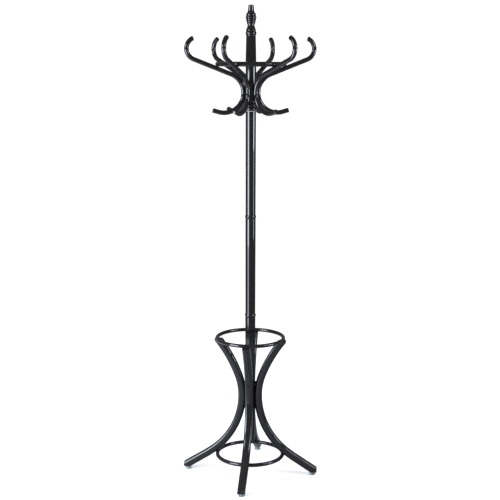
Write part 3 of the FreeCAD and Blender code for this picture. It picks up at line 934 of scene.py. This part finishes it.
umbrella_rod = 7.3
lower_rod = 7.6
leg_angles = (0, 90, 180, 270)
leg_top_slope = 48.5
lower_screw_slope = 50.0
hook_hoop = hoop_piece("hook_ring", "head", hook_rod, 0.0, ())
umbrella_hoop = hoop_piece("umbrella_ring", "stand", umbrella_rod, leg_top_slope, leg_angles)
lower_hoop = hoop_piece("lower_ring", "stand", lower_rod, lower_screw_slope - 180, leg_angles)
print("hoop radii", [round(hoop[0], 1) for hoop in (hook_hoop, umbrella_hoop, lower_hoop)])


# %% [markdown]
# ## The legs
# A leg is a bar, 31 mm each way, bent out from the pole both upwards and downwards. Its section is
# neither round nor square: the faces are crowned and the corners well rounded, so each face carries
# a soft gradient instead of one flat tone. Its top is cut level for the umbrella hoop and upright at
# its outer corner; its foot is cut level for the glide and upright at the end. To cut a bar in a
# formula, each line of points along its last stretch is lengthened or shortened until it ends on
# the cut.

# %% Leg skin
leg_half = 15.5
leg_squareness = 3.4
leg_waist = (48.0 - leg_half, 324.0)
upper_bends = [(221.0 + leg_half, -21.0), (533.0 + leg_half, -20.5)]
lower_bends = [(276.0 + leg_half, 54.0), (640.0 + leg_half, 4.0)]
foot_run = 130.0
top_stretch = 60.0
leg_foot_height, leg_top = span("leg_right")
leg_top_reach = 142.5
end_round = 2.0
leg_foot_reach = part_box("leg_right")[1].x * to_mm

leg_line, bar_length, foot_length, foot_end = bar_through(
    leg_waist, lower_bends + [foot_run], upper_bends)
foot_reach, foot_height, foot_heading = foot_end
foot_angle = math.radians(foot_heading)
last_bend, last_turn = upper_bends[-1]
last_start = bar_length - last_bend * math.radians(abs(last_turn))
start_reach, start_height, start_angle = (float(value) for value in leg_line(last_start))
centre_reach = start_reach + last_bend * math.sin(start_angle)
centre_height = start_height - last_bend * math.cos(start_angle)


def top_cut_at(left):
    """Where a line of points, left of the bar's middle, meets the first of the two cuts at the top.
    On the last bend the point's height is the centre's plus its radius times the cosine of the
    heading, and its reach is the centre's less its radius times the sine."""
    radius = last_bend + left
    at_level = np.arccos((leg_top - centre_height) / radius)
    at_upright = np.arcsin((centre_reach - leg_top_reach) / radius)
    return last_start + last_bend * (start_angle - np.maximum(at_level, at_upright))


leg_length = float(top_cut_at(0.0))
stretch_start = leg_length - top_stretch


def bar_section(girth):
    """The bar's section, between a circle and a square. At an angle round from the middle of its
    outer face, its reach is half the bar over the nth root of |cos|^n + |sin|^n."""
    angle = girth / leg_half
    power = leg_squareness
    reach = leg_half * (np.abs(np.cos(angle)) ** power + np.abs(np.sin(angle)) ** power) ** (-1 / power)
    return -reach * np.cos(angle), reach * np.sin(angle)


def leg_skin(along, girth):
    """The bar's skin, with both ends cut. On an end stretch, a point's distance along the bar is
    scaled so that the stretch ends where its own line meets the cut. In the last millimetres the
    section shrinks along a quarter circle, so the cut's edges are sanded round."""
    to_end = np.minimum(along, leg_length - along)
    shrink = 1 - end_round / leg_half * rounding(to_end / end_round)
    left, side = bar_section(girth)
    left, side = left * shrink, side * shrink
    along, left, side = np.broadcast_arrays(along, left, side)
    to_level = (leg_foot_height - foot_height - left * math.cos(foot_angle)) / math.sin(foot_angle)
    to_upright = (leg_foot_reach - foot_reach + left * math.sin(foot_angle)) / math.cos(foot_angle)
    cut = np.maximum(to_level, to_upright)
    distance = np.where(along < foot_run, cut + along * (foot_run - cut) / foot_run, along)
    share = np.clip((along - stretch_start) / top_stretch, 0, 1)
    distance = np.where(share > 0, stretch_start + share * (top_cut_at(left) - stretch_start), distance)
    return laid_on(leg_line, distance, left, side)


# %% Legs
leg_count = 72
outer_column = leg_count // 2
search_steps = 2000
leg_columns = round_columns(leg_half, leg_count)


def corner_column(left):
    """Moves the line of points nearest to an offset exactly onto it, on both side faces, and gives its
    number. The cuts of an end meet there."""
    girths = np.linspace(0, leg_half * math.pi, search_steps)
    number = outer_column + int(np.argmin(np.abs(bar_section(leg_columns[outer_column:])[0] - left)))
    leg_columns[number] = np.interp(left, bar_section(girths)[0], girths)
    leg_columns[leg_count - number] = -leg_columns[number]
    return number


def end_faces(number):
    """The two cuts of an end: the part round the outer face, and the part round the inner one."""
    ring = np.arange(leg_count)
    mirrored = leg_count - number
    around_inner = np.concatenate([ring[number:], ring[:mirrored + 1]])
    return [ring[mirrored:number + 1][None], around_inner[None]]


heel_left = (-(leg_foot_reach - foot_reach) * math.sin(foot_angle)
             + (leg_foot_height - foot_height) * math.cos(foot_angle))
toe_left = math.hypot(centre_reach - leg_top_reach, leg_top - centre_height) - last_bend
heel_column = corner_column(heel_left)
toe_column = corner_column(toe_left)
print("cuts meet", round(heel_left, 2), "and", round(toe_left, 2), "mm to the left of the bar's middle")

bolt_heights = (375.0, 274.0)
bolt_face = 51.4
bolt_head = 5.0
bolt_half_girth = leg_half * math.atan(bolt_head / leg_half)
leg_pockets = []
for height, bends in zip(bolt_heights, (upper_bends, lower_bends)):
    leg_pockets.append(post_pocket(leg_waist, foot_length, bends[0][0], leg_half, height - leg_waist[1],
                                   bolt_head, bolt_half_girth, bolt_face))

end_count, foot_count, bar_count, top_count = 6, 30, 140, 16
end_rows = round_end(end_round, end_count)
leg_rows = np.concatenate([
    end_rows[:-1],
    np.linspace(end_round, foot_run, foot_count)[:-1],
    np.linspace(foot_run, stretch_start, bar_count)[:-1],
    np.linspace(stretch_start, leg_length - end_round, top_count)[:-1],
    leg_length - end_rows[::-1],
])
leg_patches = with_pockets(leg_skin, leg_rows, leg_columns, leg_pockets)
last_row_start = len(leg_patches[0][0]) - leg_count
top_faces = [face + last_row_start for face in end_faces(toe_column)]
leg_patches[0][1] = [leg_patches[0][1][0]] + end_faces(heel_column) + top_faces
leg_names = ("right", "back", "left", "front")
for name, degrees in zip(leg_names, leg_angles):
    leg = make_piece("bent_leg_" + name, turned_round(leg_patches, degrees), "stand", "bent_lacquer",
                     ["leg_" + name], sharp=40)
    soften(leg, 0.5, 40)
print("leg bar", round(leg_length, 1), "mm long")


# %% [markdown]
# ## Bolts and screws
# The leg bolts have flat heads with a six-sided socket; the screws have round heads with a cross
# cut into them. A head could be a plain disc, but its socket is what one sees first. A fastening is
# spun about its own axis with its head at the origin, and is then laid along its direction in the
# drawing plane.

# %% Fastenings
def pointed(points, start, heading):
    """Points whose Z axis is laid along heading, degrees up from level, from a start point."""
    angle = math.radians(heading)
    along = np.array([math.cos(angle), 0, math.sin(angle)])
    across = np.array([0, 1, 0])
    return np.array([start[0], 0, start[1]]) + points @ np.stack([np.cross(across, along), across, along])


def bolt_patch(head, head_length, shank, length):
    """A socket-headed bolt from its face at 0 to its tip. The outline runs from the socket's floor
    out over the face, round the rim and down the shank."""
    socket, depth, fillet = 2.3, 2.2, 0.3
    rim, lip, tip = 0.5, 0.15, 0.8
    points = np.array([
        (0.2, depth), (socket - fillet, depth), (socket, depth - fillet), (socket, lip),
        (socket + lip, 0.0), (head - rim, 0.0), (head - lip, lip), (head, rim), (head, head_length),
        (shank, head_length), (shank, length - tip), (shank - tip, length),
    ])
    sides = np.array([6] * 5 + [0] * 7)
    return spun(points, 48, sides)


def screw_patch(head, head_height, shank, length):
    """A cross-headed screw from its slightly domed face to its tip. The cross is cut where a point
    lies within half an arm's width of either arm and within an arm's length of the middle."""
    dome, rim, point = 0.35, 0.25, 1.5
    arm_half, arm_length, depth = 0.42, head * 0.62, 1.1
    side_slope, end_slope = 0.12, 0.5
    rings, columns = 26, 64
    radii = np.linspace(0.04, 1, rings) * (head - 0.2)
    face = np.stack([radii, dome * (radii / head) ** 2], axis=-1)
    rest = np.array([(head, dome + rim), (head, head_height), (shank, head_height),
                     (shank, length - point), (0.3, length)])
    patch = spun(np.concatenate([face, rest]), columns)
    points = patch[0]
    on_face = np.arange(len(points)) < columns * rings
    x, y = np.abs(points[:, 0]), np.abs(points[:, 1])
    beside_arm = np.clip((arm_half - np.minimum(x, y)) / side_slope + 0.5, 0, 1)
    within_arm = np.clip((arm_length - np.maximum(x, y)) / end_slope + 0.5, 0, 1)
    points[:, 2] += np.where(on_face, depth * beside_arm * within_arm, 0)
    return patch


def fastening(name, patch, body, node, places):
    """One object of fastenings. places are (start, heading, degrees round the pole)."""
    patches = []
    for start, heading, degrees in places:
        points = about_pole(pointed(patch[0], start, heading), degrees)
        patches.append([points, patch[1], points])
    return make_piece(name, patches, body, "black_steel", [node], sharp=40)


tip_reach = 9.0
leg_bolt = bolt_patch(bolt_head, head_length=4.0, shank=3.0, length=bolt_face - tip_reach)
bolt_places = [((bolt_face, height), 180.0, degrees) for height in bolt_heights for degrees in leg_angles]
fastening("socket_bolts", leg_bolt, "stand", "leg_bolts", bolt_places)

hook_screw = screw_patch(screw_head, head_height=2.5, shank=2.0, length=screw_face - tip_reach)
screw_places = [((screw_face, hook_waist[1] + offset), 180.0, degrees)
                for offset in (-screw_offset, screw_offset) for degrees in hook_angles]
fastening("hook_post_screws", hook_screw, "head", "hook_screws", screw_places)

hoop_head_height = 2.0
hoop_shank = 1.75
head_sunk = 1.0


def hoop_screws(name, body, node, hoop, head_distance, tip_distance, heading, angles):
    """Screws on a line through a hoop's centre: the head lies head_distance behind it."""
    turn = math.radians(heading)
    start = (hoop[0] - head_distance * math.cos(turn), hoop[1] - head_distance * math.sin(turn))
    patch = screw_patch(hoop_head, hoop_head_height, hoop_shank, head_distance + tip_distance)
    fastening(name, patch, body, node, [(start, heading, degrees) for degrees in angles])


hook_hoop_head = 3 * hook_rod - hoop_let_in - hoop_head_height
hoop_screws("hook_hoop_screws", "head", "hook_ring_screws", hook_hoop, hook_hoop_head, 4.0,
            hook_slope + 90, hook_angles)
hoop_screws("umbrella_hoop_screws", "stand", "umbrella_ring_screws", umbrella_hoop,
            umbrella_rod - head_sunk, 32.0, leg_top_slope - 180, leg_angles)
hoop_screws("lower_hoop_screws", "stand", "lower_ring_screws", lower_hoop,
            lower_rod - head_sunk, 24.0, lower_screw_slope, leg_angles)


# %% [markdown]
# ## The glides
# Under each foot is a screw-in glide of pale zinc plate: a thick disc that stands on the floor and
# doesn't turn, and above it a twelve-sided grip, a neck and a threaded stem that do. The grip's
# flats are real faces, because they are what flickers along a glide. The thread is a radius
# that rises and falls once per turn of its helix: the stem's own radius less the thread's depth
# times one half plus one half the cosine of (height over pitch, less the share of a turn).

# %% Glides
glide_reach = 253.0
glide_pad_radius = 11.5
glide_pad_height = 6.0
glide_grip = 9.0
glide_grip_top = 10.3
glide_neck = 6.0
glide_neck_top = 11.5
stem_radius = 4.0
stem_top = 34.0
stub_low = 2.5
thread_pitch = 1.25
thread_depth = 0.55
core = 0.3                  # a spun outline starts this far from its axis, not on it
glide_columns = 72


def pad_patch():
    """The disc, with rounded rims and a socket for the screw's stub."""
    rim = 1.5
    sag = 0.3 * rim
    radius, height = glide_pad_radius, glide_pad_height
    socket = stem_radius + 0.05
    steps = [
        (radius - rim, 0.0),
        (radius - sag, sag, radius, rim),
        (radius, height - rim),
        (radius - sag, height - sag, radius - rim, height),
        (socket, height),
        (socket, stub_low),
        (core, stub_low),
    ]
    return spun(outline((core, 0.0), steps, support=0.3), glide_columns)


def screw_grip_patch():
    """Stub, twelve-sided grip with broken edges, and neck. A hair of play keeps it off the disc."""
    play = 0.06
    stub = stub_low + play
    underside = glide_pad_height + play
    broken = 0.3
    points = np.array([
        (core, stub), (stem_radius - broken, stub), (stem_radius, stub + broken),
        (stem_radius, underside), (glide_grip - 0.5, underside), (glide_grip, underside + 0.4),
        (glide_grip, glide_grip_top - 0.5), (glide_grip - 0.6, glide_grip_top),
        (glide_neck, glide_grip_top), (glide_neck, glide_neck_top - broken),
        (glide_neck - broken, glide_neck_top), (stem_radius - thread_depth, glide_neck_top),
        (core, glide_neck_top),
    ])
    sides = np.array([0, 0, 0, 0, 12, 12, 12, 12, 0, 0, 0, 0, 0])
    return spun(points, glide_columns, sides)


def stem_patch():
    """The threaded stem, rows eight to a turn of thread, thinned over its last millimetre."""
    columns = 36
    rows_per_turn = 8
    in_neck = 0.2
    heights = np.arange(glide_neck_top - in_neck, stem_top, thread_pitch / rows_per_turn)[:, None]
    angles = 2 * math.pi * np.arange(columns) / columns
    wave = 0.5 + 0.5 * np.cos(2 * math.pi * heights / thread_pitch - angles)
    tip = np.clip(stem_top - heights, 0, 1)
    reach = np.minimum(stem_radius - thread_depth * wave, stem_radius - thread_depth - 0.6 + 1.2 * tip)
    return tube(polar(reach, angles, heights))


def at_foot(patch, degrees):
    """A glide's patch moved out to the foot and turned to its own leg."""
    points = about_pole(patch[0] + np.array([glide_reach, 0, 0]), degrees)
    return [points, patch[1], points]


for name, degrees in zip(leg_names, leg_angles):
    pad = at_foot(pad_patch(), degrees)
    make_piece("floor_disc_" + name, [pad], name + "_pad", "zinc", ["glide_pad_" + name], sharp=50)
    screw = [at_foot(screw_grip_patch(), degrees), at_foot(stem_patch(), degrees)]
    make_piece("level_screw_" + name, screw, name + "_screw", "zinc", ["glide_screw_" + name], sharp=25)


# %% [markdown]
# ## The pieces inside
# Studs, sleeves, the pivot pin and the inserts sit inside the wood. The frame already holds their
# true shapes, so they only need a finish; a slip of an insert's flange shows between leg and
# pole, and another between foot and glide.

# %% Finishes for the frame's own pieces
inner_finishes = {
    "pole_studs": "plated_steel", "pole_inserts": "plated_steel", "pivot_pin": "plated_steel",
    "finial_stud": "plated_steel", "leg_inserts": "black_steel", "glide_inserts": "zinc",
    "pivot_bush": "nylon",
}
slot_finishes = {entry["node"]: entry["material_slot"] for entry in frame["record"]["subparts"]}
for node, piece in frame["nodes"].items():
    finish = inner_finishes.get(node, slot_finishes[node])
    piece.data.materials.clear()
    piece.data.materials.append(finishes[finish])
print("frame pieces finished", len(frame["nodes"]))
